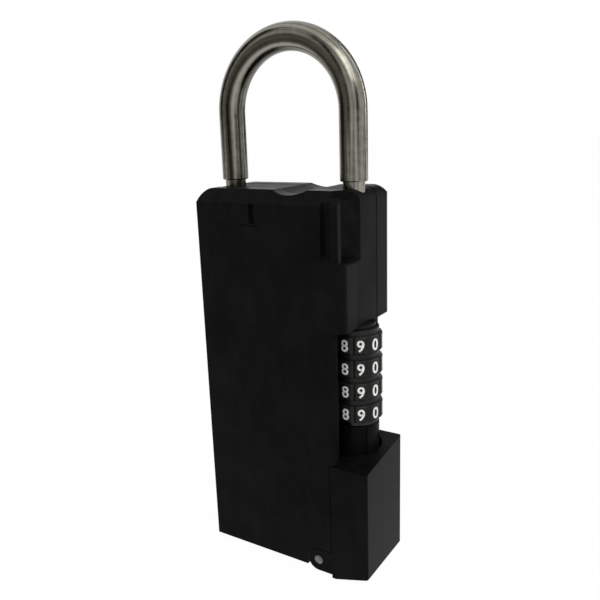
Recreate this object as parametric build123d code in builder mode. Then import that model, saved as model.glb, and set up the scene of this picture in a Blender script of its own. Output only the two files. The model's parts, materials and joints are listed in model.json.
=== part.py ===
"""Portable key safe: a slim body with a shackle, four combination dials and a swing-out key drawer.

Millimetres. +Z is up, the wide front faces -Y and the dials face +X. The origin is the centre of the
footprint, at the base.
"""
import os
from math import cos, radians, sin

from build123d import *

os.makedirs("parts", exist_ok=True)

# Overall sizes
body_width = 57.5
body_depth = 34.0
body_height = 136.0
drawer_overhang = 7.5

# Covers
side_wall = 2.0
face_wall = 2.4
top_wall = 2.8
cover_gap = 0.1
cover_lift = 2.4
casting_front_lift = 1.8
casting_foot_y = -2.0
front_seam_y = -8.0
rear_seam_y = 7.0
casting_reveal = 0.1
dial_side_radius = 2.6
left_front_radius = 8.0
left_rear_radius = 5.0
top_bevel = 4.5
top_corner_radius = 4.0
saddle_radius = 15.0
saddle_depth = 1.6
saddle_offset = 7.0

# Shackle: the bar, bent above the body, steps down to thinner legs just above it
shackle_diameter = 9.2
shackle_spacing = 48.0
shackle_rise = 48.3
leg_diameter = 7.3
leg_step_height = 2.0
leg_step_chamfer = 0.3
leg_clearance = 0.2
short_leg_depth = 18.0
long_leg_depth = 74.0
shackle_lift = 22.0
notch_depth = 2.8
notch_height = 5.0

# Dials
dial_radius = 8.8
collar_radius = 7.7
dial_pitch = 8.2
dial_gap = 0.3
digit_band = 6.0
dial_count = 4
digit_count = 10
scallop_radius = 0.9
hub_radius = 5.4
spindle_radius = 2.2
bush_radius = 3.2
running_gap = 0.05
pressed_gap = 0.02
bay_gap = 0.7
washer_room = 1.5
dial_inset = 4.5
bay_flare_left = 3.5
bay_flare_slope = 1.55

# Knob and the latch below it
knob_radius = 7.6
knob_height = 14.5
knob_flute_radius = 1.1
knob_flutes = 4
latch_thickness = 2.8
latch_turn = 60.0
plate_thickness = 1.2

# Drawer
drawer_width = 14.0
drawer_height = 43.5
drawer_depth = 27.5
drawer_foot = 1.5
drawer_slant = 3.8
drawer_crest = 3.5
drawer_wall = 2.5
part_gap = 0.3
recess_gap = 0.8
recess_depth = 6.5
pivot_height = 5.5
pivot_inset = 5.5
pivot_radius = 1.6
pivot_hub_radius = 4.2
tray_radius = 31.0
tray_sheet = 1.0
tray_width = 21.0

# Bolt that holds the shackle
bolt_throw = 2.6
bolt_width = 8.0
bolt_thickness = 4.4
crank_pin_radius = 1.0

# Corner window beside the shackle, and the shallow flute in front of its post
window_height = 22.4
window_lip = 0.6
window_depth = 6.0
window_slope = 6.8
window_back = -4.9
post_width = 2.7
post_inset = 1.9
flute_width = 3.4
flute_depth = 1.5
flute_run_out = 2.4

# Places that follow from the sizes above
left = -(body_width + drawer_overhang) / 2
right = left + body_width
drawer_right = right + drawer_overhang
drawer_left = drawer_right - drawer_width
front = -body_depth / 2
back = body_depth / 2
shackle_x = (left + right) / 2
long_leg_x = shackle_x - shackle_spacing / 2
short_leg_x = shackle_x + shackle_spacing / 2
leg_radius = leg_diameter / 2
leg_bore = leg_radius + leg_clearance
short_leg_end = body_height - short_leg_depth
long_leg_end = body_height - long_leg_depth
dial_x = right - dial_inset
bay_radius = dial_radius + bay_gap
spindle_bore = spindle_radius + running_gap
knob_bottom = drawer_height - 2.9
knob_top = knob_bottom + knob_height
plate_bottom = knob_top + dial_gap
stack_bottom = plate_bottom + plate_thickness + dial_gap
stack_top = stack_bottom + dial_count * dial_pitch - dial_gap
bay_top = stack_top + washer_room
bay_bottom = drawer_height + part_gap
bay_edge = dial_x + 0.8
pivot_x = drawer_left - pivot_inset
drawer_back = front + drawer_depth
inner_front = front + face_wall + cover_gap
inner_back = back - face_wall - cover_gap
casting_wall = 2.3
chamber_half = inner_back - casting_wall
chamber_left = long_leg_x + leg_bore + 0.8
chamber_right = dial_x - bay_radius - 2.0
chamber_top = bay_top + 14.0
floor_thickness = 4.2
leg_housing_bottom = long_leg_end - 3.0
cam_bottom = bay_top + 18.0
cam_height = 2.5
crank_bottom = cam_bottom + cam_height
arm_bottom = crank_bottom + 0.6
arm_height = 2.6
bolt_bottom = short_leg_end + 3.2
bolt_tip = short_leg_x - leg_radius - 0.25
saddle_x = shackle_x + saddle_offset
window_bottom = body_height - window_height


def block(x_low, x_high, y_low, y_high, z_low, z_high):
    """A plain box given by its lowest and highest corners."""
    with BuildPart() as box:
        with BuildSketch(Plane.XY.offset(z_low)):
            with Locations(((x_low + x_high) / 2, (y_low + y_high) / 2)):
                Rectangle(x_high - x_low, y_high - y_low)
        extrude(amount=z_high - z_low)
    return box.part


def upright(x, y, radius, z_low, z_high):
    """A round column about a vertical line."""
    with BuildPart() as column:
        with BuildSketch(Plane.XY.offset(z_low)):
            with Locations((x, y)):
                Circle(radius)
        extrude(amount=z_high - z_low)
    return column.part


def crossbar(x, z, radius, y_low, y_high):
    """A round bar about a line from front to back."""
    with BuildPart() as bar:
        with BuildSketch(Plane.XZ.offset(-y_low)):
            with Locations((x, z)):
                Circle(radius)
        extrude(amount=-(y_high - y_low))
    return bar.part


def plan(x_low, x_high, y_low, y_high, inset):
    """The body seen from above: a rectangle, rounder on its left side than on the dials' side."""
    with BuildSketch() as outline:
        with Locations(((x_low + x_high) / 2, (y_low + y_high) / 2)):
            Rectangle(x_high - x_low, y_high - y_low)
        left_front, left_rear = outline.vertices().group_by(Axis.X)[0].sort_by(Axis.Y)
        fillet(outline.vertices().group_by(Axis.X)[-1], max(dial_side_radius - inset, 0.6))
        fillet(left_front, max(left_front_radius - inset, 0.6))
        fillet(left_rear, max(left_rear_radius - inset, 0.6))
    return outline.sketch


def envelope(inset, face_inset, top_inset, base):
    """The body's whole outer shape, drawn in by a wall on the sides, on the faces and on top."""
    low, high, top = front + face_inset, back - face_inset, body_height - top_inset
    wide = plan(left + inset, right - inset, low, high, inset)
    narrow = plan(left + inset, bay_edge - inset, low, high, inset)
    with BuildPart() as shape:
        with BuildSketch(Plane.XY.offset(base)):
            add(wide)
        extrude(amount=drawer_height - base)
        with BuildSketch(Plane.XY.offset(drawer_height)):
            add(narrow)
        extrude(amount=bay_top + inset - drawer_height)
        with BuildSketch(Plane.XY.offset(bay_top + inset)):
            add(wide)
        extrude(amount=top - bay_top - inset)
        with BuildSketch(Plane.YZ.offset(left - 1)):
            with BuildLine():
                Polyline(
                    (low, base - 1),
                    (high, base - 1),
                    (high, top - top_bevel),
                    (high - top_bevel, top),
                    (low + top_bevel, top),
                    (low, top - top_bevel),
                    close=True,
                )
            make_face()
        extrude(amount=body_width + drawer_overhang + 2, mode=Mode.INTERSECT)
        with BuildSketch(Plane.XZ.offset(back + 1)) as ends:
            with Locations(((left + right) / 2, (top + base) / 2)):
                Rectangle(body_width - 2 * inset, top - base)
            fillet(ends.vertices().group_by(Axis.Y)[-1], max(top_corner_radius - inset, 0.6))
        extrude(amount=-(body_depth + 2), mode=Mode.INTERSECT)
    return shape.part


outer_body = envelope(0, 0, 0, 0)
outer_front = envelope(0, 0, 0, cover_lift)
inner_body = envelope(side_wall, face_wall, top_wall, -1)
core_middle = envelope(casting_reveal, casting_reveal, casting_reveal, 0)
core_inner = envelope(side_wall + cover_gap, face_wall + cover_gap, top_wall + cover_gap, 0)
saddle_z = body_height - saddle_depth + saddle_radius
saddle = crossbar(saddle_x, saddle_z, saddle_radius, front - 1, back + 1)
bay = upright(dial_x, 0, bay_radius, bay_bottom, bay_top)
bay_mouth = block(dial_x, drawer_right, -bay_radius, bay_radius, bay_bottom, bay_top)

# Slanted front side of the opening, so that three digits of each dial can be seen from the front
flare_left = dial_x - bay_flare_left
flare_back = -(bay_radius - 1.1)
flare_front = flare_back - (right + 1 - flare_left) * bay_flare_slope
with BuildPart() as bay_flare:
    with BuildSketch(Plane.XY.offset(bay_bottom)):
        with BuildLine():
            Polyline(
                (flare_left, flare_back),
                (right + 1, flare_back),
                (right + 1, flare_front),
                close=True,
            )
        make_face()
    extrude(amount=bay_top - bay_bottom)

long_bore = upright(long_leg_x, 0, leg_bore, long_leg_end - 1, body_height + 1)
short_bore = upright(short_leg_x, 0, leg_bore, short_leg_end - 0.5, body_height + 1)

# Room for the drawer: its block, its pivot hub and the web between them
drawer_room_left = drawer_left - part_gap
hub_room_radius = pivot_hub_radius + part_gap
hub_room = crossbar(pivot_x, pivot_height, hub_room_radius, front - 1, drawer_back + part_gap)
web_room = block(
    pivot_x - hub_room_radius, drawer_right, front - 1, drawer_back + part_gap,
    -1, pivot_height,
)
web_room_upper = block(
    pivot_x, drawer_right, front - 1, drawer_back + part_gap,
    0, pivot_height + hub_room_radius,
)
drawer_room_plan = (drawer_room_left, drawer_right + 1, front - 1, drawer_back + part_gap)
drawer_room = block(*drawer_room_plan, -1, bay_bottom)

# Corner window: a pocket open to the front corner, the side and the top, with a sloping rear wall
window_left = right - window_depth
window_front = front + face_wall
post_right = right - post_inset
with BuildPart() as window_pocket:
    with BuildSketch(Plane.XY.offset(window_bottom)):
        with BuildLine():
            Polyline(
                (right + 1, front - 1),
                (post_right, front - 1),
                (post_right, window_front),
                (window_left, window_front),
                (window_left, window_back - window_slope),
                (right, window_back),
                (right + 1, window_back),
                close=True,
            )
        make_face()
    extrude(amount=window_height + 1)
    # Bevel along the outer edge of the pocket's floor
    with BuildSketch(Plane.XZ.offset(-window_back)):
        with BuildLine():
            Polyline(
                (right - window_lip, window_bottom),
                (right + 1, window_bottom),
                (right + 1, window_bottom - window_lip - 1),
                close=True,
            )
        make_face()
    extrude(amount=window_back - front + 1)

# Flute beside the window's post, running out to the face at its lower end
flute_right = post_right - post_width
flute_bottom = window_bottom + 0.6
with BuildPart() as post_flute:
    with BuildSketch(Plane.YZ.offset(flute_right - flute_width)):
        with BuildLine():
            Polyline(
                (front - 1, flute_bottom),
                (front, flute_bottom),
                (front + flute_depth, flute_bottom + flute_run_out),
                (front + flute_depth, body_height + 1),
                (front - 1, body_height + 1),
                close=True,
            )
        make_face()
    extrude(amount=flute_width)

sight_left = shackle_x - 6.6

# Screws that hold the two covers to the casting
screw_radius = 1.5
screw_head_radius = 2.8
screw_inset = 6.0
boss_radius = 3.0
boss_length = 5.5
screw_places = [
    (left + screw_inset, 8.0),
    (left + screw_inset, leg_housing_bottom - 7.0),
    (shackle_x - 10.0, chamber_top + 16.0),
    (dial_x - bay_radius + 2.6, bay_top + 13.5),
]

# Body casting
mechanism_left = shackle_x - 0.5
mechanism_half = 5.0
with BuildPart() as body_casting:
    add(core_inner)
    between_covers = (left, right, front_seam_y + cover_gap, rear_seam_y - cover_gap)
    add(core_middle & block(*between_covers, 0, body_height))
    chamber_box = (chamber_left, chamber_right, -chamber_half, chamber_half)
    add(block(*chamber_box, floor_thickness, chamber_top), mode=Mode.SUBTRACT)
    opening_box = (chamber_left, drawer_right, -chamber_half, drawer_back + part_gap)
    add(block(*opening_box, floor_thickness, bay_bottom), mode=Mode.SUBTRACT)
    # Raised underside at the front; the casting stands on its rear half
    add(block(left, right, front, casting_foot_y, -1, casting_front_lift), mode=Mode.SUBTRACT)
    add(drawer_room, mode=Mode.SUBTRACT)
    add(hub_room, mode=Mode.SUBTRACT)
    add(web_room, mode=Mode.SUBTRACT)
    add(web_room_upper, mode=Mode.SUBTRACT)
    add(bay, mode=Mode.SUBTRACT)
    add(bay_mouth, mode=Mode.SUBTRACT)
    add(bay_flare.part, mode=Mode.SUBTRACT)
    add(long_bore, mode=Mode.SUBTRACT)
    add(short_bore, mode=Mode.SUBTRACT)
    add(saddle, mode=Mode.SUBTRACT)
    add(window_pocket.part, mode=Mode.SUBTRACT)
    # Ear that carries the front of the pivot pin, joined to the floor on its left
    ear_front, ear_back = front + 7.6, front + 10.2
    ear_radius = pivot_hub_radius - 0.3
    add(crossbar(pivot_x, pivot_height, ear_radius, ear_front, ear_back))
    ear_left = pivot_x - 11
    ear_top = pivot_height + ear_radius
    add(block(ear_left, pivot_x, ear_front, ear_back, pivot_height - ear_radius, ear_top))
    add(block(ear_left, pivot_x - hub_room_radius, ear_front, ear_back, casting_front_lift, ear_top))
    add(crossbar(pivot_x, pivot_height, pivot_radius, ear_front - 1, back), mode=Mode.SUBTRACT)
    # Hollow for the bolt, open to the front under the cover, the bolt's way to the short leg beyond
    # it, and the hollow for the crank
    bolt_ceiling = bolt_bottom + bolt_thickness + 0.3
    bolt_room = (mechanism_left, bolt_tip + 0.2, inner_front - 1, mechanism_half)
    add(block(*bolt_room, arm_bottom - 0.4, bolt_ceiling), mode=Mode.SUBTRACT)
    way_half = bolt_width / 2 + 0.2
    bolt_way = (bolt_tip, bolt_tip + bolt_throw + 0.2, -way_half, way_half)
    add(block(*bolt_way, bolt_bottom - 0.3, bolt_ceiling), mode=Mode.SUBTRACT)
    crank_room = (mechanism_left, dial_x + bush_radius + 0.4, -mechanism_half, mechanism_half)
    add(block(*crank_room, cam_bottom - 0.4, arm_bottom + arm_height + 0.4), mode=Mode.SUBTRACT)
    # Bore of the upper bush, slot of the plate under the dials, and pocket of the detent spring
    add(upright(dial_x, 0, bush_radius, bay_top - 1, cam_bottom), mode=Mode.SUBTRACT)
    plate_half = hub_radius + 1
    plate_slot = (chamber_right - 0.1, dial_x, -plate_half, plate_half)
    plate_top = plate_bottom + plate_thickness
    add(block(*plate_slot, plate_bottom, plate_top), mode=Mode.SUBTRACT)
    spring_half = 3.0
    spring_pocket = (dial_x - bay_radius - 1.2, dial_x, -spring_half - 0.2, spring_half + 0.2)
    add(block(*spring_pocket, stack_bottom, stack_top), mode=Mode.SUBTRACT)
    # Slot of the code reset slider, reached from the key chamber
    reset_bottom = bay_top + 1.5
    reset_half = 2.0
    reset_length = 7.0
    reset_travel = 3.0
    reset_slot = (chamber_right - 0.1, chamber_right + 3.4, -reset_half - 0.15, reset_half + 0.15)
    reset_room = reset_bottom + reset_length + reset_travel + 0.4
    add(block(*reset_slot, reset_bottom - 0.2, reset_room), mode=Mode.SUBTRACT)
    # Cross hole of the pin that keeps the long leg in
    stop_radius = 1.25
    stop_x = long_leg_x + leg_radius - 0.6
    stop_z = long_leg_end + 5 + shackle_lift + stop_radius + 0.6
    stop_hole = crossbar(stop_x, stop_z, stop_radius + pressed_gap, inner_front - 1, inner_back - 3)
    add(stop_hole, mode=Mode.SUBTRACT)
    for place_x, place_z in screw_places:
        add(crossbar(place_x, place_z, screw_radius + 0.2, front, back), mode=Mode.SUBTRACT)
        boss_end = inner_front + boss_length
        add(crossbar(place_x, place_z, boss_radius + 0.2, front, boss_end), mode=Mode.SUBTRACT)
body_casting.part.label = "body_casting"
export_step(body_casting.part, "parts/body_casting.step")

# Front cover
with BuildPart() as front_cover:
    add(outer_front & block(left, right, front, front_seam_y, 0, body_height))
    cover_hollow = inner_body & block(left, right, front, front_seam_y + 1, 0, body_height)
    add(cover_hollow, mode=Mode.SUBTRACT)
    add(drawer_room, mode=Mode.SUBTRACT)
    add(hub_room, mode=Mode.SUBTRACT)
    add(web_room, mode=Mode.SUBTRACT)
    add(web_room_upper, mode=Mode.SUBTRACT)
    add(bay, mode=Mode.SUBTRACT)
    add(bay_mouth, mode=Mode.SUBTRACT)
    add(bay_flare.part, mode=Mode.SUBTRACT)
    add(saddle, mode=Mode.SUBTRACT)
    add(window_pocket.part, mode=Mode.SUBTRACT)
    add(post_flute.part, mode=Mode.SUBTRACT)
    # Blind slot in the upper left, with a fine groove across below it
    sight_top = body_height - top_bevel
    sight_slot = (sight_left, sight_left + 2.4, front - 1, front + 1.2)
    add(block(*sight_slot, sight_top - 6.4, sight_top), mode=Mode.SUBTRACT)
    sight_groove = (sight_left - 3.4, sight_left + 3.2, front - 1, front + 0.4)
    add(block(*sight_groove, sight_top - 7.4, sight_top - 6.7), mode=Mode.SUBTRACT)
    for place_x, place_z in screw_places:
        boss_end = inner_front + boss_length - 0.3
        add(crossbar(place_x, place_z, boss_radius, front + face_wall, boss_end))
        thread_hole = crossbar(place_x, place_z, screw_radius, front + face_wall, boss_end + 1)
        add(thread_hole, mode=Mode.SUBTRACT)
front_cover.part.label = "front_cover"
export_step(front_cover.part, "parts/front_cover.step")

# Rear cover
with BuildPart() as rear_cover:
    add(outer_body & block(left, right, rear_seam_y, back, 0, body_height))
    rear_hollow = inner_body & block(left, right, rear_seam_y - 1, back, 0, body_height)
    add(rear_hollow, mode=Mode.SUBTRACT)
    add(drawer_room, mode=Mode.SUBTRACT)
    add(web_room, mode=Mode.SUBTRACT)
    add(bay, mode=Mode.SUBTRACT)
    add(bay_mouth, mode=Mode.SUBTRACT)
    add(saddle, mode=Mode.SUBTRACT)
    for place_x, place_z in screw_places:
        shank_hole = crossbar(place_x, place_z, screw_radius + 0.2, inner_back - 1, back + 1)
        add(shank_hole, mode=Mode.SUBTRACT)
        head_hole = crossbar(place_x, place_z, screw_head_radius + 0.2, back - 1.5, back + 1)
        add(head_hole, mode=Mode.SUBTRACT)
rear_cover.part.label = "rear_cover"
export_step(rear_cover.part, "parts/rear_cover.step")

# Shackle
bar_radius = shackle_diameter / 2
arch_radius = shackle_spacing / 2
arch_z = body_height + shackle_rise - arch_radius
step_z = body_height + leg_step_height
notch_bottom = bolt_bottom - 0.3
with BuildPart() as shackle:
    with BuildLine(Plane.XZ):
        Line((long_leg_x, step_z), (long_leg_x, arch_z))
        ThreePointArc((long_leg_x, arch_z), (shackle_x, arch_z + arch_radius), (short_leg_x, arch_z))
        Line((short_leg_x, arch_z), (short_leg_x, step_z))
    with BuildSketch(Plane.XY.offset(step_z)):
        with Locations((long_leg_x, 0)):
            Circle(bar_radius)
    sweep()
    bar_ends = shackle.edges().filter_by(GeomType.CIRCLE)
    chamfer(bar_ends.filter_by(lambda edge: edge.center().Z < step_z + 1), leg_step_chamfer)
    add(upright(long_leg_x, 0, leg_radius, long_leg_end, step_z))
    add(upright(short_leg_x, 0, leg_radius, short_leg_end, step_z))
    leg_ends = shackle.edges().filter_by(GeomType.CIRCLE)
    chamfer(leg_ends.filter_by(lambda edge: edge.center().Z < body_height), 0.8)
    # Notch for the bolt in the short leg, and the long leg's flat that stops it coming out
    notch_face = short_leg_x - leg_radius + notch_depth
    notch = (short_leg_x - leg_radius - 1, notch_face, -leg_radius - 1, leg_radius + 1)
    add(block(*notch, notch_bottom, notch_bottom + notch_height), mode=Mode.SUBTRACT)
    flat = (stop_x - stop_radius - 0.3, long_leg_x + leg_radius + 1, -leg_radius - 1, leg_radius + 1)
    flat_bottom = long_leg_end + 5
    add(block(*flat, flat_bottom, stop_z + stop_radius + 0.6), mode=Mode.SUBTRACT)
shackle.part.label = "shackle"
export_step(shackle.part, "parts/shackle.step")

# Pin that stops the long leg
with BuildPart() as leg_stop_pin:
    add(crossbar(stop_x, stop_z, stop_radius, inner_front + 0.4, inner_back - 3))
leg_stop_pin.part.label = "leg_stop_pin"
export_step(leg_stop_pin.part, "parts/leg_stop_pin.step")

# Bolt: a bar that enters the short leg's notch, on a crank plate driven by the spindle
crank_radius = bolt_throw / (2 * sin(radians(latch_turn / 2)))
crank_x = dial_x - crank_radius * sin(radians(latch_turn / 2))
crank_y = -crank_radius * cos(radians(latch_turn / 2))
bolt_left = mechanism_left + 1.0
with BuildPart() as shackle_bolt:
    bar = (bolt_left, bolt_tip, -bolt_width / 2, bolt_width / 2)
    add(block(*bar, bolt_bottom, bolt_bottom + bolt_thickness))
    web = (bolt_left, bolt_left + 4, -bolt_width / 2, bolt_width / 2)
    add(block(*web, arm_bottom, bolt_bottom + bolt_thickness))
    slot_half = crank_pin_radius + running_gap
    plate_right = crank_x + slot_half + 0.9
    bolt_plate = (bolt_left, plate_right, 0.4 - mechanism_half, bolt_width / 2)
    add(block(*bolt_plate, arm_bottom, arm_bottom + arm_height))
    slot_front = -crank_radius - slot_half - 0.1
    slot_back = crank_y + slot_half + 0.4
    cam_slot = (crank_x - slot_half, crank_x + slot_half, slot_front, slot_back)
    add(block(*cam_slot, arm_bottom - 1, arm_bottom + arm_height + 1), mode=Mode.SUBTRACT)
shackle_bolt.part.label = "shackle_bolt"
export_step(shackle_bolt.part, "parts/shackle_bolt.step")

# Spindle with the dials, the knob and the two cams on it
latch_bottom = drawer_height - recess_depth + 0.5
with BuildPart() as spindle:
    add(upright(dial_x, 0, spindle_radius, latch_bottom, cam_bottom + cam_height))
    chamfer(spindle.edges().filter_by(GeomType.CIRCLE), 0.4)
spindle.part.label = "spindle"
export_step(spindle.part, "parts/spindle.step")

with BuildPart() as bolt_crank:
    add(upright(dial_x, 0, bush_radius, cam_bottom, crank_bottom))
    add(upright(crank_x, crank_y, crank_pin_radius + 0.4, cam_bottom, crank_bottom))
    add(upright(dial_x, 0, spindle_radius, cam_bottom - 1, crank_bottom), mode=Mode.SUBTRACT)
    # A thin web over the spindle's end carries the pin
    add(upright(dial_x, 0, bush_radius, crank_bottom, crank_bottom + 0.4))
    add(upright(crank_x, crank_y, crank_pin_radius + 0.4, crank_bottom, crank_bottom + 0.4))
    add(upright(crank_x, crank_y, crank_pin_radius, crank_bottom, arm_bottom + arm_height - 0.2))
bolt_crank.part.label = "bolt_crank"
export_step(bolt_crank.part, "parts/bolt_crank.step")

with BuildPart() as release_knob:
    add(upright(dial_x, 0, knob_radius, knob_bottom, knob_top))
    chamfer(release_knob.edges().filter_by(GeomType.CIRCLE), 0.6)
    flute_angles = [360 / knob_flutes * (step + 0.5) for step in range(knob_flutes)]
    for angle in flute_angles:
        flute_x = dial_x + (knob_radius + 0.3) * cos(radians(angle))
        flute_y = (knob_radius + 0.3) * sin(radians(angle))
        flute = upright(flute_x, flute_y, knob_flute_radius, knob_bottom + 2.4, knob_top + 1)
        add(flute, mode=Mode.SUBTRACT)
    add(upright(dial_x, 0, spindle_radius, knob_bottom - 1, knob_top + 1), mode=Mode.SUBTRACT)
release_knob.part.label = "release_knob"
export_step(release_knob.part, "parts/release_knob.step")

# Half-moon latch under the knob, its flat facing the rear while the drawer is free
latch_radius = knob_radius - 0.4
with BuildPart() as drawer_latch:
    add(upright(dial_x, 0, latch_radius, latch_bottom, latch_bottom + latch_thickness))
    rear_half = (dial_x - latch_radius - 1, dial_x + latch_radius + 1, 0, latch_radius + 1)
    add(block(*rear_half, latch_bottom - 1, knob_bottom), mode=Mode.SUBTRACT)
    add(upright(dial_x, 0, spindle_radius + 1.2, latch_bottom, latch_bottom + latch_thickness))
    add(upright(dial_x, 0, spindle_radius, latch_bottom - 1, knob_bottom), mode=Mode.SUBTRACT)
drawer_latch.part.label = "drawer_latch"
export_step(drawer_latch.part, "parts/drawer_latch.step")

# Plate under the dials that steadies the spindle
with BuildPart() as bearing_plate:
    tail = (chamber_right + 0.1, dial_x, -plate_half + 0.1, plate_half - 0.1)
    add(block(*tail, plate_bottom, plate_top))
    add(upright(dial_x, 0, collar_radius - 0.3, plate_bottom, plate_top))
    add(upright(dial_x, 0, spindle_bore, plate_bottom - 1, plate_top + 1), mode=Mode.SUBTRACT)
bearing_plate.part.label = "bearing_plate"
export_step(bearing_plate.part, "parts/bearing_plate.step")

# Bush over the dials, with a thin washer between it and the top dial
with BuildPart() as spindle_bush:
    add(upright(dial_x, 0, bush_radius - pressed_gap, bay_top, cam_bottom - 1.4))
    add(upright(dial_x, 0, spindle_bore, bay_top - 1, cam_bottom), mode=Mode.SUBTRACT)
spindle_bush.part.label = "spindle_bush"
export_step(spindle_bush.part, "parts/spindle_bush.step")

with BuildPart() as thrust_washer:
    add(upright(dial_x, 0, collar_radius - 1.2, stack_top + 0.1, bay_top - 0.05))
    add(upright(dial_x, 0, spindle_bore, stack_top, bay_top + 1), mode=Mode.SUBTRACT)
thrust_washer.part.label = "thrust_washer"
export_step(thrust_washer.part, "parts/thrust_washer.step")

# Dials: a ring with a digit band below and a plain collar above, on a notched hub
for number in range(1, dial_count + 1):
    ring_bottom = stack_bottom + (dial_count - number) * dial_pitch
    ring_top = ring_bottom + dial_pitch - dial_gap
    with BuildPart() as dial_ring:
        add(upright(dial_x, 0, dial_radius, ring_bottom, ring_bottom + digit_band))
        chamfer(dial_ring.edges().filter_by(GeomType.CIRCLE), 0.35)
        add(upright(dial_x, 0, collar_radius, ring_bottom + digit_band - 0.5, ring_top))
        for step in range(digit_count):
            angle = radians(360 / digit_count * step)
            reach = dial_radius + 0.35
            scallop_x, scallop_y = dial_x + reach * cos(angle), reach * sin(angle)
            scallop_top = ring_bottom + digit_band + 1
            scallop = upright(scallop_x, scallop_y, scallop_radius, ring_bottom - 1, scallop_top)
            add(scallop, mode=Mode.SUBTRACT)
        add(upright(dial_x, 0, hub_radius, ring_bottom - 1, ring_top + 1), mode=Mode.SUBTRACT)
    dial_ring.part.label = f"dial_ring_{number}"
    export_step(dial_ring.part, f"parts/dial_ring_{number}.step")
    with BuildPart() as dial_hub:
        add(upright(dial_x, 0, hub_radius, ring_bottom, ring_top))
        add(upright(dial_x, 0, spindle_bore, ring_bottom - 1, ring_top + 1), mode=Mode.SUBTRACT)
        gate = (dial_x + spindle_radius - 0.5, dial_x + spindle_radius + 1.3, -0.9, 0.9)
        add(block(*gate, ring_bottom - 1, ring_top + 1), mode=Mode.SUBTRACT)
    dial_hub.part.label = f"dial_hub_{number}"
    export_step(dial_hub.part, f"parts/dial_hub_{number}.step")

# Leaf spring whose bumps click into the dials
leaf_thickness = 0.4
leaf_x = dial_x - bay_radius - 1.0
bump_tip = dial_x - dial_radius - 0.15
with BuildPart() as detent_spring:
    leaf = (leaf_x, leaf_x + leaf_thickness, -spring_half, spring_half)
    add(block(*leaf, stack_bottom + 0.1, stack_top - 0.1))
    for number in range(dial_count):
        bump_z = stack_bottom + number * dial_pitch + digit_band / 2
        add(block(leaf_x, bump_tip, -0.5, 0.5, bump_z - 1.2, bump_z + 1.2))
detent_spring.part.label = "detent_spring"
export_step(detent_spring.part, "parts/detent_spring.step")

# Slider in the key chamber that sets a new code
with BuildPart() as code_reset_slider:
    reset_body = (chamber_right + 0.2, chamber_right + 3.2, -reset_half, reset_half)
    add(block(*reset_body, reset_bottom, reset_bottom + reset_length))
    reset_tab = (chamber_right - 1.6, chamber_right + 0.2, -reset_half, reset_half)
    add(block(*reset_tab, reset_bottom + 2.4, reset_bottom + 4.6))
code_reset_slider.part.label = "code_reset_slider"
export_step(code_reset_slider.part, "parts/code_reset_slider.step")

# Screws through the rear cover and the casting into the front cover's bosses
with BuildPart() as cover_screws:
    for place_x, place_z in screw_places:
        add(crossbar(place_x, place_z, screw_radius, inner_front + 0.6, back - 1.4))
        add(crossbar(place_x, place_z, screw_head_radius, back - 1.5, back - 0.1))
        driver_slot = (place_x - 2, place_x + 2, back - 0.7, back + 1)
        add(block(*driver_slot, place_z - 0.4, place_z + 0.4), mode=Mode.SUBTRACT)
cover_screws.part.label = "cover_screws"
export_step(cover_screws.part, "parts/cover_screws.step")

# Pivot pin, its end flush with the front
with BuildPart() as pivot_pin:
    add(crossbar(pivot_x, pivot_height, pivot_radius, front, inner_back - 0.2))
pivot_pin.part.label = "pivot_pin"
export_step(pivot_pin.part, "parts/pivot_pin.step")

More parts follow.
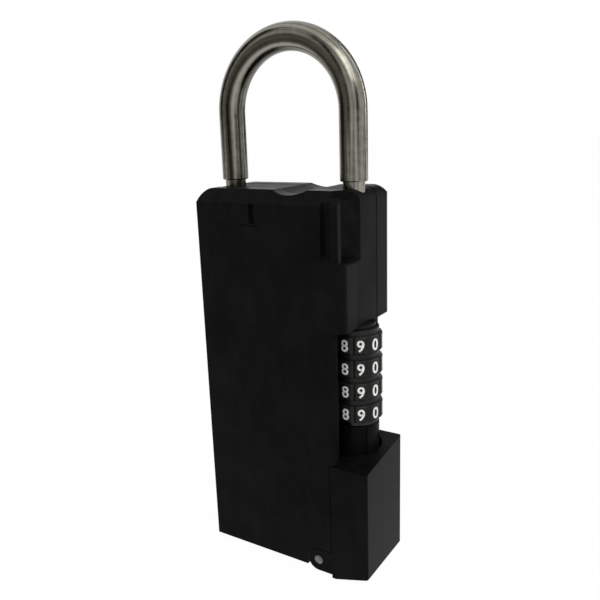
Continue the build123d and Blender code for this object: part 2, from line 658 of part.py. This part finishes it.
# Drawer block: hub, web and hollow block in one, with the knob's recess in its top
recess_radius = knob_radius + recess_gap
recess_floor = drawer_height - recess_depth
with BuildPart() as drawer_block:
    add(block(drawer_left, drawer_right, front, drawer_back, 0, drawer_height))
    # Crest clear of the body, rising to the rear
    with BuildSketch(Plane.YZ.offset(bay_edge + recess_gap)):
        with BuildLine():
            Polyline(
                (front, drawer_height),
                (drawer_back, drawer_height),
                (drawer_back, drawer_height + drawer_crest),
                close=True,
            )
        make_face()
    extrude(amount=drawer_right - bay_edge - recess_gap)
    # Underside slanting up from a narrow foot
    with BuildSketch(Plane.XZ.offset(back + 1)):
        with BuildLine():
            Polyline(
                (drawer_left + drawer_foot, 0),
                (drawer_right, drawer_slant),
                (drawer_right + 1, drawer_slant),
                (drawer_right + 1, -1),
                (drawer_left + drawer_foot, -1),
                close=True,
            )
        make_face()
    extrude(amount=-(body_depth + 2), mode=Mode.SUBTRACT)
    outer_upright = drawer_block.edges().filter_by(Axis.Z).group_by(Axis.X)[-1]
    fillet(outer_upright, 0.8)
    hollow_front, hollow_back = front + drawer_wall, drawer_back - drawer_wall
    hollow = (drawer_left - 1, drawer_right - drawer_wall, hollow_front, hollow_back)
    hollow_floor = drawer_slant + drawer_wall
    add(block(*hollow, hollow_floor, recess_floor - drawer_wall), mode=Mode.SUBTRACT)
    add(crossbar(pivot_x, pivot_height, pivot_hub_radius, front, drawer_back))
    web_low = pivot_height - pivot_hub_radius
    web_high = pivot_height + pivot_hub_radius
    add(block(pivot_x, drawer_left + drawer_wall, front, drawer_back, web_low, web_high))
    ear_room_radius = ear_radius + part_gap
    ear_room = (ear_front - part_gap, ear_back + part_gap)
    add(crossbar(pivot_x, pivot_height, ear_room_radius + 0.6, *ear_room), mode=Mode.SUBTRACT)
    inside = (ear_back, drawer_back - 6.5)
    sweep_radius = pivot_hub_radius + 1
    add(crossbar(pivot_x, pivot_height, sweep_radius, *inside), mode=Mode.SUBTRACT)
    bore_radius = pivot_radius + running_gap
    add(crossbar(pivot_x, pivot_height, bore_radius, front - 1, drawer_back + 1), mode=Mode.SUBTRACT)
    recess_top = drawer_height + drawer_crest + 1
    add(upright(dial_x, 0, recess_radius, recess_floor, recess_top), mode=Mode.SUBTRACT)
    recess_mouth = (drawer_left - 1, dial_x, -recess_radius, recess_radius)
    add(block(*recess_mouth, recess_floor, recess_top), mode=Mode.SUBTRACT)
    # Lug that the half-moon latch blocks
    lug_front = spindle_radius + 1.2 + 0.5
    lug_back = recess_radius + 1
    lug_top = knob_bottom - 0.5
    add(block(drawer_left, drawer_left + 2.2, lug_front, lug_back, recess_floor - 1, lug_top))
drawer_block.part.label = "drawer_block"
export_step(drawer_block.part, "parts/drawer_block.step")

# Key tray: a bent sheet riveted to the drawer, its outline an arc about the pivot
tray_half = tray_width / 2
tray_bottom = pivot_height + ear_radius + part_gap + 0.2
tray_face = drawer_left - 0.02
tray_height = recess_floor - 1.0
with BuildPart() as key_tray:
    add(crossbar(pivot_x, pivot_height, tray_radius, -tray_half, tray_half))
    limits = block(pivot_x - tray_radius - 1, tray_face, -tray_half, tray_half, tray_bottom, tray_height)
    add(limits, mode=Mode.INTERSECT)
    inner_half = tray_half - tray_sheet
    inner_bottom = tray_bottom + tray_sheet
    keys_room = crossbar(pivot_x, pivot_height, tray_radius - tray_sheet, -inner_half, inner_half)
    keep_plan = (pivot_x - tray_radius, tray_face - tray_sheet, -inner_half, inner_half)
    keep = block(*keep_plan, inner_bottom, tray_height + 1)
    add(keys_room & keep, mode=Mode.SUBTRACT)
    mouth_left = pivot_x - 22
    mouth = (mouth_left, tray_face - tray_sheet, -inner_half, inner_half)
    add(block(*mouth, inner_bottom + 8, tray_height + 1), mode=Mode.SUBTRACT)
key_tray.part.label = "key_tray"
export_step(key_tray.part, "parts/key_tray.step")
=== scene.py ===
"""Finishes, dial digits, light and camera for the portable key safe.

Lengths are in metres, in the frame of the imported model: +Z is up, the wide front faces -Y and the dials
face +X.
"""

import json
import logging
import math
from dataclasses import dataclass, field
from enum import Enum
from typing import Any

import bmesh
import bpy
from mathutils import Matrix, Vector


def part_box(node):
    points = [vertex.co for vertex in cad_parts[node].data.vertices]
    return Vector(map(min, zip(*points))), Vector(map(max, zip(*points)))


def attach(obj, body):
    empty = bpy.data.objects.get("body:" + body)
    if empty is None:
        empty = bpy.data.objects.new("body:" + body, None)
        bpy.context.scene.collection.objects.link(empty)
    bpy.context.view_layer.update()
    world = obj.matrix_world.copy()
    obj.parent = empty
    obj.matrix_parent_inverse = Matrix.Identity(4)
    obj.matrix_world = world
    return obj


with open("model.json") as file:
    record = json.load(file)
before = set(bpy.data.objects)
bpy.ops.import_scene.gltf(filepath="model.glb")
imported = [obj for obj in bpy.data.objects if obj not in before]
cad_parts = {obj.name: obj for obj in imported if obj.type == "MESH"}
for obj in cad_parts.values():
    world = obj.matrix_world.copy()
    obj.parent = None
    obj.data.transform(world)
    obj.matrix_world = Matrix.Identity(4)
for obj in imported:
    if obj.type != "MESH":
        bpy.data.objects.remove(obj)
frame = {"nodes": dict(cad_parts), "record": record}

log = logging.getLogger("key_safe")
MM = 0.001
PER_METRE = 1000.0
DIAL_COUNT = 4
DIGITS_PER_DIAL = 10
DIGIT_LINE = 3.0 * MM
GLYPH_SCALE = 1.4
GLYPH_SWELL = 0.09 * MM
WELD_GAP = 0.001 * MM
LANE_STRETCH = 9.0
FLOOR_GLOW = 0.98
FLOOR_SIZE = 6.0
FLAG_DISTANCE = 0.8
FLAG_LOW = 0.1
FLAG_HIGH = 1.1
LAMP_AIM = (0.0, 0.0, 0.1)


class Slot(Enum):
    """The record's material slots."""

    CASTING = "casting"
    COVER = "cover"
    DRAWER = "drawer"
    KNOB = "knob"
    DIAL = "dial"
    SLIDER = "slider"
    SHACKLE = "shackle_steel"
    HARDENED = "hardened_steel"
    SPRING = "spring_steel"
    SCREW = "screw_steel"
    PIN = "pin_steel"
    TRAY = "tray_steel"
    BUSH = "bush"
    BRASS = "bush_brass"


class Wire:
    """A socket of a shader tree that can be used in sums and products."""

    def __init__(self, tree: "ShaderTree", socket: bpy.types.NodeSocket) -> None:
        """Wraps a socket.

        Args:
            tree: The tree that holds the socket's node.
            socket: An output socket.
        """
        self.tree = tree
        self.socket = socket

    def _maths(self, operation: str, first: Any, second: Any) -> "Wire":
        """Adds one Math node.

        Args:
            operation: The node's operation.
            first: A wire or a number.
            second: A wire or a number.

        Returns:
            The node's result.
        """
        node = self.tree.node("ShaderNodeMath", {"operation": operation}, {0: first, 1: second})
        return Wire(self.tree, node.outputs[0])

    def __add__(self, other: Any) -> "Wire":
        """This value plus another."""
        return self._maths("ADD", self, other)

    def __sub__(self, other: Any) -> "Wire":
        """This value less another."""
        return self._maths("SUBTRACT", self, other)

    def __mul__(self, other: Any) -> "Wire":
        """This value times another."""
        return self._maths("MULTIPLY", self, other)

    def __pow__(self, other: Any) -> "Wire":
        """This value to a power."""
        return self._maths("POWER", self, other)

    def above(self, floor: float) -> "Wire":
        """This value, or the floor where it is lower."""
        return self._maths("MAXIMUM", self, floor)


class ShaderTree:
    """The nodes of one material or of the world."""

    def __init__(self, owner: Any) -> None:
        """Empties the owner's node tree.

        Args:
            owner: A material or a world.
        """
        owner.use_nodes = True
        self.nodes = owner.node_tree.nodes
        self.links = owner.node_tree.links
        self.nodes.clear()

    def node(self, kind: str, settings: dict[str, Any] | None = None,
             inputs: dict[Any, Any] | None = None) -> bpy.types.Node:
        """Makes one node.

        Args:
            kind: The node's type.
            settings: Its properties; "stops" holds a ramp's (position, colour) pairs.
            inputs: Values, wires or output sockets for its sockets, by name or number.

        Returns:
            The new node.
        """
        node = self.nodes.new(kind)
        for key, value in (settings or {}).items():
            if key == "stops":
                ramp = node.color_ramp
                while len(ramp.elements) < len(value):
                    ramp.elements.new(0.5)
                for element, (position, colour) in zip(ramp.elements, value):
                    element.position = position
                    element.color = (*colour, 1.0)
            else:
                setattr(node, key, value)
        for key, value in (inputs or {}).items():
            socket = node.inputs[key]
            if isinstance(value, Wire):
                self.links.new(value.socket, socket)
            elif isinstance(value, bpy.types.NodeSocket):
                self.links.new(value, socket)
            else:
                socket.default_value = value
        return node

    def place(self) -> bpy.types.NodeSocket:
        """The object's own coordinates."""
        return self.node("ShaderNodeTexCoord").outputs["Object"]

    def axes(self) -> tuple[Wire, Wire, Wire]:
        """The object's X, Y and Z as three wires."""
        split = self.node("ShaderNodeSeparateXYZ", {}, {0: self.place()})
        return tuple(Wire(self, output) for output in split.outputs)

    def grain(self, scale: float, detail: float = 3.0, stretch: tuple[float, float, float] = (1, 1, 1),
              vector: bpy.types.NodeSocket | None = None) -> Wire:
        """Noise fixed to the object.

        Args:
            scale: Features to the metre.
            detail: Octaves.
            stretch: Scale along each axis.
            vector: Coordinates to use in place of the object's own.

        Returns:
            The noise, about 0.3 to 0.7.
        """
        source = vector if vector is not None else self.place()
        mapped = self.node("ShaderNodeMapping", {}, {"Vector": source, "Scale": stretch})
        noise = self.node("ShaderNodeTexNoise", {}, {
            "Vector": mapped.outputs[0], "Scale": scale, "Detail": detail, "Roughness": 0.55,
        })
        return Wire(self, noise.outputs["Fac"])

    def blend(self, amount: Wire,
              stops: list[tuple[float, tuple[float, float, float]]]) -> bpy.types.NodeSocket:
        """A colour that follows a value.

        Args:
            amount: The value.
            stops: Positions and colours.

        Returns:
            The colour socket.
        """
        return self.node("ShaderNodeValToRGB", {"stops": stops}, {0: amount}).outputs[0]

    def rounded(self, height: Wire, strength: float, distance: float, edge: float) -> bpy.types.NodeSocket:
        """A surface normal with fine relief and softened edges.

        Args:
            height: The relief.
            strength: How far the relief counts.
            distance: Its depth in metres.
            edge: The radius that sharp edges appear to have.

        Returns:
            The normal socket.
        """
        soft = self.node("ShaderNodeBevel", {"samples": 6}, {"Radius": edge})
        bump = self.node("ShaderNodeBump", {}, {
            "Strength": strength, "Distance": distance, "Height": height, "Normal": soft.outputs[0],
        })
        return bump.outputs[0]

    def surface(self, inputs: dict[str, Any]) -> None:
        """Ends a material in one Principled shader.

        Args:
            inputs: Its sockets' values and links.
        """
        shader = self.node("ShaderNodeBsdfPrincipled", {}, inputs)
        self.node("ShaderNodeOutputMaterial", {}, {"Surface": shader.outputs[0]})


@dataclass(frozen=True)
class MouldedFinish:
    """Satin moulded plastic with a fine spark-eroded grain and faint mottling."""

    name: str
    dark: tuple[float, float, float]
    light: tuple[float, float, float]
    roughness: float = 0.34
    roughness_spread: float = 0.16
    gloss: float = 0.03
    grain_scale: float = 2600.0
    grain_strength: float = 0.16
    edge: float = 0.35 * MM

    def make(self) -> bpy.types.Material:
        """Builds the material."""
        material = bpy.data.materials.new(self.name)
        tree = ShaderTree(material)
        mottle = tree.grain(55.0, 4.0)
        fine = tree.grain(self.grain_scale, 2.0)
        rub = tree.grain(260.0, 5.0, (1.0, 1.0, 0.35))
        tone = mottle * 0.6 + rub * 0.4
        tree.surface({
            "Base Color": tree.blend(tone, [(0.36, self.dark), (0.64, self.light)]),
            "Roughness": tone * self.roughness_spread + (self.roughness - self.roughness_spread / 2),
            "Specular IOR Level": self.gloss,
            "Normal": tree.rounded(fine, self.grain_strength, 0.02 * MM, self.edge),
        })
        return material


@dataclass(frozen=True)
class CastFinish:
    """Powder coat on a zinc casting: slightly pebbled, a little rubbed on its high spots."""

    name: str
    dark: tuple[float, float, float] = (0.004, 0.004, 0.0042)
    light: tuple[float, float, float] = (0.011, 0.011, 0.011)

    def make(self) -> bpy.types.Material:
        """Builds the material."""
        material = bpy.data.materials.new(self.name)
        tree = ShaderTree(material)
        pebble = tree.grain(1400.0, 2.0)
        broad = tree.grain(90.0, 4.0)
        tree.surface({
            "Base Color": tree.blend(broad, [(0.35, self.dark), (0.68, self.light)]),
            "Roughness": broad * 0.2 + 0.3,
            "Specular IOR Level": 0.02,
            "Normal": tree.rounded(pebble, 0.3, 0.03 * MM, 0.4 * MM),
        })
        return material


@dataclass(frozen=True)
class DrawnBarFinish:
    """Drawn steel bar bent into a bow: fine drawn lines and scuffs run along the bar; its wide darker and
    lighter lanes are painted reflections of a dark and bright surround, and its dark tones are painted
    shade in the steel's colour.
    """

    name: str
    centre_x: float
    arch_z: float
    bow_radius: float
    # The three steel tones run from painted shade (dark) to painted highlight (light): reflections of the
    # surround painted into the base colour.
    dark: tuple[float, float, float] = (0.022, 0.021, 0.015)
    middle: tuple[float, float, float] = (0.085, 0.081, 0.063)
    light: tuple[float, float, float] = (0.3, 0.292, 0.25)

    def make(self) -> bpy.types.Material:
        """Builds the material."""
        material = bpy.data.materials.new(self.name)
        tree = ShaderTree(material)
        along_x, along_y, along_z = tree.axes()
        side = along_x - self.centre_x
        rise = (along_z - self.arch_z).above(0.0)
        reach = (side * side + rise * rise) ** 0.5
        lanes = tree.node("ShaderNodeCombineXYZ", {}, {
            0: (reach - self.bow_radius) * PER_METRE, 1: along_y * PER_METRE, 2: along_z * LANE_STRETCH,
        }).outputs[0]
        # Wide lanes round the bar's section: painted reflection of dark and bright surroundings, as darker
        # and lighter stripes along the bar.
        painted_reflection_lanes = tree.grain(0.42, 1.0, vector=lanes)
        fine_lines = tree.grain(3.2, 3.0, vector=lanes)
        scuffs = tree.grain(420.0, 4.0)
        # Mixes the painted reflection lanes with the steel's real drawn lines and scuffs.
        tone = painted_reflection_lanes * 0.62 + fine_lines * 0.28 + scuffs * 0.1
        tree.surface({
            "Base Color": tree.blend(tone, [(0.38, self.dark), (0.5, self.middle), (0.62, self.light)]),
            "Metallic": 1.0,
            "Roughness": fine_lines * 0.22 + scuffs * 0.1 + 0.08,
            "Normal": tree.rounded(fine_lines, 0.12, 0.01 * MM, 0.15 * MM),
        })
        return material


@dataclass(frozen=True)
class MetalFinish:
    """Turned, ground or plated metal, its marks stretched along one axis."""

    name: str
    dark: tuple[float, float, float]
    light: tuple[float, float, float]
    roughness: float = 0.3
    stretch: tuple[float, float, float] = (1.0, 1.0, 6.0)
    scale: float = 500.0

    def make(self) -> bpy.types.Material:
        """Builds the material."""
        material = bpy.data.materials.new(self.name)
        tree = ShaderTree(material)
        marks = tree.grain(self.scale, 4.0, self.stretch)
        cloud = tree.grain(120.0, 3.0)
        tree.surface({
            "Base Color": tree.blend(marks * 0.6 + cloud * 0.4, [(0.35, self.dark), (0.65, self.light)]),
            "Metallic": 1.0,
            "Roughness": marks * 0.2 + (self.roughness - 0.1),
            "Normal": tree.rounded(marks, 0.15, 0.01 * MM, 0.15 * MM),
        })
        return material


@dataclass(frozen=True)
class InkFinish:
    """White ink of the dials' raised digits, a little worn and uneven."""

    name: str

    def make(self) -> bpy.types.Material:
        """Builds the material."""
        material = bpy.data.materials.new(self.name)
        tree = ShaderTree(material)
        wear = tree.grain(1500.0, 4.0)
        tree.surface({
            "Base Color": tree.blend(wear, [(0.3, (0.52, 0.52, 0.5)), (0.55, (0.86, 0.86, 0.84))]),
            "Roughness": wear * 0.3 + 0.35,
            "Normal": tree.rounded(wear, 0.2, 0.01 * MM, 0.05 * MM),
        })
        return material


@dataclass
class Finishes:
    """One material for each of the record's slots, and the dials' ink."""

    shackle_x: float
    arch_z: float
    bow_radius: float
    made: dict[str, bpy.types.Material] = field(default_factory=dict)

    def build(self) -> None:
        """Makes every material."""
        black = (0.0028, 0.0028, 0.0028)
        self.made = {
            Slot.CASTING.value: CastFinish("powder_coat").make(),
            Slot.COVER.value: MouldedFinish("cover_moulding", black, (0.0068, 0.0068, 0.0066)).make(),
            Slot.DRAWER.value: MouldedFinish(
                "drawer_moulding", (0.0026, 0.0026, 0.0026), (0.0066, 0.0066, 0.0065), gloss=0.032,
            ).make(),
            Slot.KNOB.value: MouldedFinish("knob_moulding", black, (0.006, 0.006, 0.006)).make(),
            Slot.DIAL.value: MouldedFinish(
                "dial_moulding", (0.004, 0.004, 0.0036), (0.016, 0.016, 0.014), gloss=0.2, roughness=0.4,
                edge=0.2 * MM,
            ).make(),
            Slot.SLIDER.value: MouldedFinish(
                "red_moulding", (0.36, 0.02, 0.012), (0.5, 0.035, 0.02), gloss=0.4,
            ).make(),
            Slot.BUSH.value: MouldedFinish(
                "black_nylon", (0.004, 0.004, 0.004), (0.01, 0.01, 0.01), gloss=0.1,
            ).make(),
            # Shackle steel: real drawn lines and scuffs plus painted reflection lanes in its colour.
            Slot.SHACKLE.value: DrawnBarFinish(
                "bar_lines_and_painted_reflection", self.shackle_x, self.arch_z, self.bow_radius,
            ).make(),
            Slot.HARDENED.value: MetalFinish(
                "oxidised_steel", (0.012, 0.012, 0.013), (0.045, 0.045, 0.044),
            ).make(),
            Slot.SPRING.value: MetalFinish("rolled_steel", (0.3, 0.3, 0.29), (0.5, 0.5, 0.48)).make(),
            Slot.SCREW.value: MetalFinish(
                "blackened_steel", (0.015, 0.015, 0.016), (0.07, 0.07, 0.07), stretch=(1.0, 4.0, 1.0),
            ).make(),
            Slot.PIN.value: MetalFinish(
                "bright_pin", (0.07, 0.07, 0.068), (0.22, 0.22, 0.21), 0.34, (1.0, 1.0, 1.0), 900.0,
            ).make(),
            Slot.TRAY.value: MetalFinish("zinc_sheet", (0.34, 0.35, 0.36), (0.6, 0.61, 0.62), 0.38).make(),
            Slot.BRASS.value: MetalFinish("turned_brass", (0.4, 0.27, 0.1), (0.68, 0.5, 0.2), 0.3).make(),
            "ink": InkFinish("dial_ink").make(),
        }

    def dress_nodes(self) -> None:
        """Gives each CAD node the material of its slot."""
        for part in frame["record"]["subparts"]:
            node = frame["nodes"][part["node"]]
            node.data.materials.clear()
            node.data.materials.append(self.made[part["material_slot"]])
            log.info("dressed %s in %s", part["node"], part["material_slot"])


@dataclass
class DialDigits:
    """The ten raised digits round one dial ring."""

    number: int
    axis: Vector
    ring_radius: float
    centre_z: float
    ink: bpy.types.Material
    height: float = 4.1 * MM
    width: float = 2.5 * MM
    sunk: float = 0.06 * MM
    proud: float = 0.1 * MM
    first_angle: float = -18.0

    def glyph(self, digit: int) -> bpy.types.Mesh:
        """One flat digit with a little thickness.

        Args:
            digit: 0 to 9.

        Returns:
            Its mesh, placed where the font sets it.
        """
        curve = bpy.data.curves.new(f"glyph_{digit}", "FONT")
        curve.body = str(digit)
        curve.size = self.height * GLYPH_SCALE
        curve.extrude = (self.sunk + self.proud) / 2
        curve.offset = GLYPH_SWELL
        curve.resolution_u = 6
        text = bpy.data.objects.new(f"glyph_{digit}", curve)
        bpy.context.scene.collection.objects.link(text)
        bpy.context.view_layer.update()
        mesh = bpy.data.meshes.new_from_object(text.evaluated_get(bpy.context.evaluated_depsgraph_get()))
        bpy.data.objects.remove(text)
        return mesh

    def wrapped(self, digit: int, ring: bmesh.types.BMesh) -> None:
        """Adds one digit to the ring, bent round it.

        Args:
            digit: 0 to 9.
            ring: The mesh that collects the digits.
        """
        piece = bmesh.new()
        piece.from_mesh(self.glyph(digit))
        bmesh.ops.remove_doubles(piece, verts=piece.verts, dist=WELD_GAP)
        bmesh.ops.triangulate(piece, faces=piece.faces)
        low = [min(vert.co[axis] for vert in piece.verts) for axis in (0, 1)]
        high = [max(vert.co[axis] for vert in piece.verts) for axis in (0, 1)]
        tall = self.height / (high[1] - low[1])
        wide = min(tall, self.width / (high[0] - low[0]))
        middle = Vector(((low[0] + high[0]) / 2, (low[1] + high[1]) / 2, 0.0))
        start = math.radians(self.first_angle + 360.0 / DIGITS_PER_DIAL * digit)
        for vert in piece.verts:
            local = vert.co - middle
            angle = start + local.x * wide / self.ring_radius
            radius = self.ring_radius + local.z + (self.proud - self.sunk) / 2
            vert.co = Vector((
                self.axis.x + radius * math.cos(angle),
                self.axis.y + radius * math.sin(angle),
                self.centre_z + local.y * tall,
            ))
        bmesh.ops.recalc_face_normals(piece, faces=piece.faces)
        finished = bpy.data.meshes.new("digit")
        piece.to_mesh(finished)
        piece.free()
        ring.from_mesh(finished)
        bpy.data.meshes.remove(finished)

    def build(self) -> bpy.types.Object:
        """Makes the ring of digits and lets it turn with its dial."""
        ring = bmesh.new()
        for digit in range(DIGITS_PER_DIAL):
            self.wrapped(digit, ring)
        mesh = bpy.data.meshes.new(f"dial_digits_{self.number}")
        ring.to_mesh(mesh)
        ring.free()
        mesh.materials.append(self.ink)
        digits = bpy.data.objects.new(f"dial_digits_{self.number}", mesh)
        bpy.context.scene.collection.objects.link(digits)
        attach(digits, f"dial_{self.number}")
        return digits


@dataclass
class Studio:
    """Floor, world, lamps and camera."""

    light_level: float = 0.62
    camera_place: Vector = field(default_factory=lambda: Vector((0.1258, -0.2004, 0.1570)))
    camera_right: Vector = field(default_factory=lambda: Vector((0.8471, 0.5305, -0.0326)))
    camera_up: Vector = field(default_factory=lambda: Vector((-0.1058, 0.2284, 0.9678)))
    focal_pixels: float = 688.9
    image_pixels: float = 600.0

    def seen(self, tree: ShaderTree) -> Wire:
        """1 for camera, glossy and transmission rays, 0 for the rays that light surfaces."""
        path = tree.node("ShaderNodeLightPath")
        camera_ray = Wire(tree, path.outputs["Is Camera Ray"])
        glossy_ray = Wire(tree, path.outputs["Is Glossy Ray"])
        shiny_ray = glossy_ray + Wire(tree, path.outputs["Is Transmission Ray"])
        total = camera_ray + shiny_ray
        return Wire(tree, tree.node("ShaderNodeClamp", {}, {0: total}).outputs[0])

    def world(self) -> None:
        """A white surround that lights the object at a plain level."""
        world = bpy.data.worlds.new("surround")
        bpy.context.scene.world = world
        tree = ShaderTree(world)
        strength = self.seen(tree) * (1.0 - self.light_level) + self.light_level
        background = tree.node("ShaderNodeBackground", {}, {"Color": (1, 1, 1, 1), "Strength": strength})
        tree.node("ShaderNodeOutputWorld", {}, {"Surface": background.outputs[0]})

    def floor(self) -> None:
        """A plain white floor that keeps the object's soft shadow."""
        shape = bmesh.new()
        bmesh.ops.create_grid(shape, x_segments=1, y_segments=1, size=FLOOR_SIZE)
        mesh = bpy.data.meshes.new("floor")
        shape.to_mesh(mesh)
        shape.free()
        floor = bpy.data.objects.new("floor", mesh)
        bpy.context.scene.collection.objects.link(floor)
        material = bpy.data.materials.new("floor_paper")
        tree = ShaderTree(material)
        paper = tree.node("ShaderNodeBsdfDiffuse", {}, {"Color": (0.92, 0.92, 0.92, 1)})
        glow = tree.node("ShaderNodeEmission", {}, {"Color": (1, 1, 1, 1), "Strength": 1.0})
        mixed = tree.node("ShaderNodeMixShader", {}, {
            0: self.seen(tree) * FLOOR_GLOW, 1: paper.outputs[0], 2: glow.outputs[0],
        })
        tree.node("ShaderNodeOutputMaterial", {}, {"Surface": mixed.outputs[0]})
        mesh.materials.append(material)

    def lamp(self, name: str, place: tuple[float, float, float], size: tuple[float, float],
             power: float) -> None:
        """A soft rectangular lamp aimed at the object.

        Args:
            name: Its name.
            place: Where it stands.
            size: Its width and height.
            power: Its power in watts.
        """
        data = bpy.data.lights.new(name, "AREA")
        data.shape = "RECTANGLE"
        data.size, data.size_y = size
        data.energy = power
        lamp = bpy.data.objects.new(name, data)
        lamp.location = place
        aim = Vector(LAMP_AIM) - Vector(place)
        lamp.rotation_euler = aim.to_track_quat("-Z", "Y").to_euler()
        bpy.context.scene.collection.objects.link(lamp)

    def flag(self, name: str, azimuth: float, width: float) -> None:
        """A dark card that only shiny surfaces see, to draw dark lanes on the steel.

        Args:
            name: Its name.
            azimuth: Its direction from the object in degrees, 0 at +X.
            width: Its width.
        """
        shape = bmesh.new()
        bmesh.ops.create_grid(shape, x_segments=1, y_segments=1, size=0.5)
        stand_off = Matrix.Translation((FLAG_DISTANCE, 0, (FLAG_LOW + FLAG_HIGH) / 2))
        turn = Matrix.Rotation(math.radians(azimuth), 4, "Z") @ stand_off
        upright = Matrix.Rotation(math.radians(90), 4, "Y")
        stand = upright @ Matrix.Diagonal((FLAG_HIGH - FLAG_LOW, width, 1, 1))
        bmesh.ops.transform(shape, matrix=turn @ stand, verts=shape.verts)
        mesh = bpy.data.meshes.new(name)
        shape.to_mesh(mesh)
        shape.free()
        card = bpy.data.objects.new(name, mesh)
        bpy.context.scene.collection.objects.link(card)
        material = bpy.data.materials.get("flag_cloth")
        if material is None:
            material = bpy.data.materials.new("flag_cloth")
            tree = ShaderTree(material)
            tree.surface({"Base Color": (0.01, 0.01, 0.01, 1), "Roughness": 0.9, "Specular IOR Level": 0.0})
        mesh.materials.append(material)
        card.visible_camera = False
        card.visible_diffuse = False
        card.visible_shadow = False

    def camera(self) -> None:
        """The camera at the photograph's place and angle."""
        data = bpy.data.cameras.new("camera")
        data.sensor_width = 36.0
        data.lens = self.focal_pixels / self.image_pixels * data.sensor_width
        data.clip_start, data.clip_end = 0.01, 20.0
        camera = bpy.data.objects.new("camera", data)
        back = self.camera_right.cross(self.camera_up).normalized()
        up = back.cross(self.camera_right).normalized()
        turn = Matrix((self.camera_right.normalized(), up, back)).transposed().to_4x4()
        camera.matrix_world = Matrix.Translation(self.camera_place) @ turn
        bpy.context.scene.collection.objects.link(camera)
        bpy.context.scene.camera = camera

    def build(self) -> None:
        """Sets up the whole studio."""
        self.world()
        self.floor()
        self.lamp("key_lamp", (0.55, -0.25, 0.75), (0.5, 0.5), 3.0)
        self.lamp("side_strip", (0.35, 0.5, 0.45), (0.12, 0.7), 1.2)
        self.flag("flag_left", 200.0, 0.5)
        self.flag("flag_front", 262.0, 0.3)
        self.flag("flag_right", 335.0, 0.3)
        self.flag("flag_rear", 75.0, 0.6)
        self.camera()
        bpy.context.scene.view_settings.view_transform = "Standard"


def main() -> None:
    """Builds the looks in order."""
    logging.basicConfig(level=logging.INFO)
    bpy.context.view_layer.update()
    low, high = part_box("shackle")
    bar_radius = (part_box("shackle")[1].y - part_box("shackle")[0].y) / 2
    bow_radius = (high.x - low.x) / 2 - bar_radius
    finishes = Finishes((low.x + high.x) / 2, high.z - bar_radius - bow_radius, bow_radius)
    finishes.build()
    finishes.dress_nodes()
    for number in range(1, DIAL_COUNT + 1):
        ring_low, ring_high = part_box(f"dial_ring_{number}")
        axis = (ring_low + ring_high) / 2
        radius = (ring_high.x - ring_low.x) / 2
        digits = DialDigits(number, axis, radius, ring_low.z + DIGIT_LINE, finishes.made["ink"])
        log.info("built %s", digits.build().name)
    Studio().build()


if __name__ == "__main__":
    main()
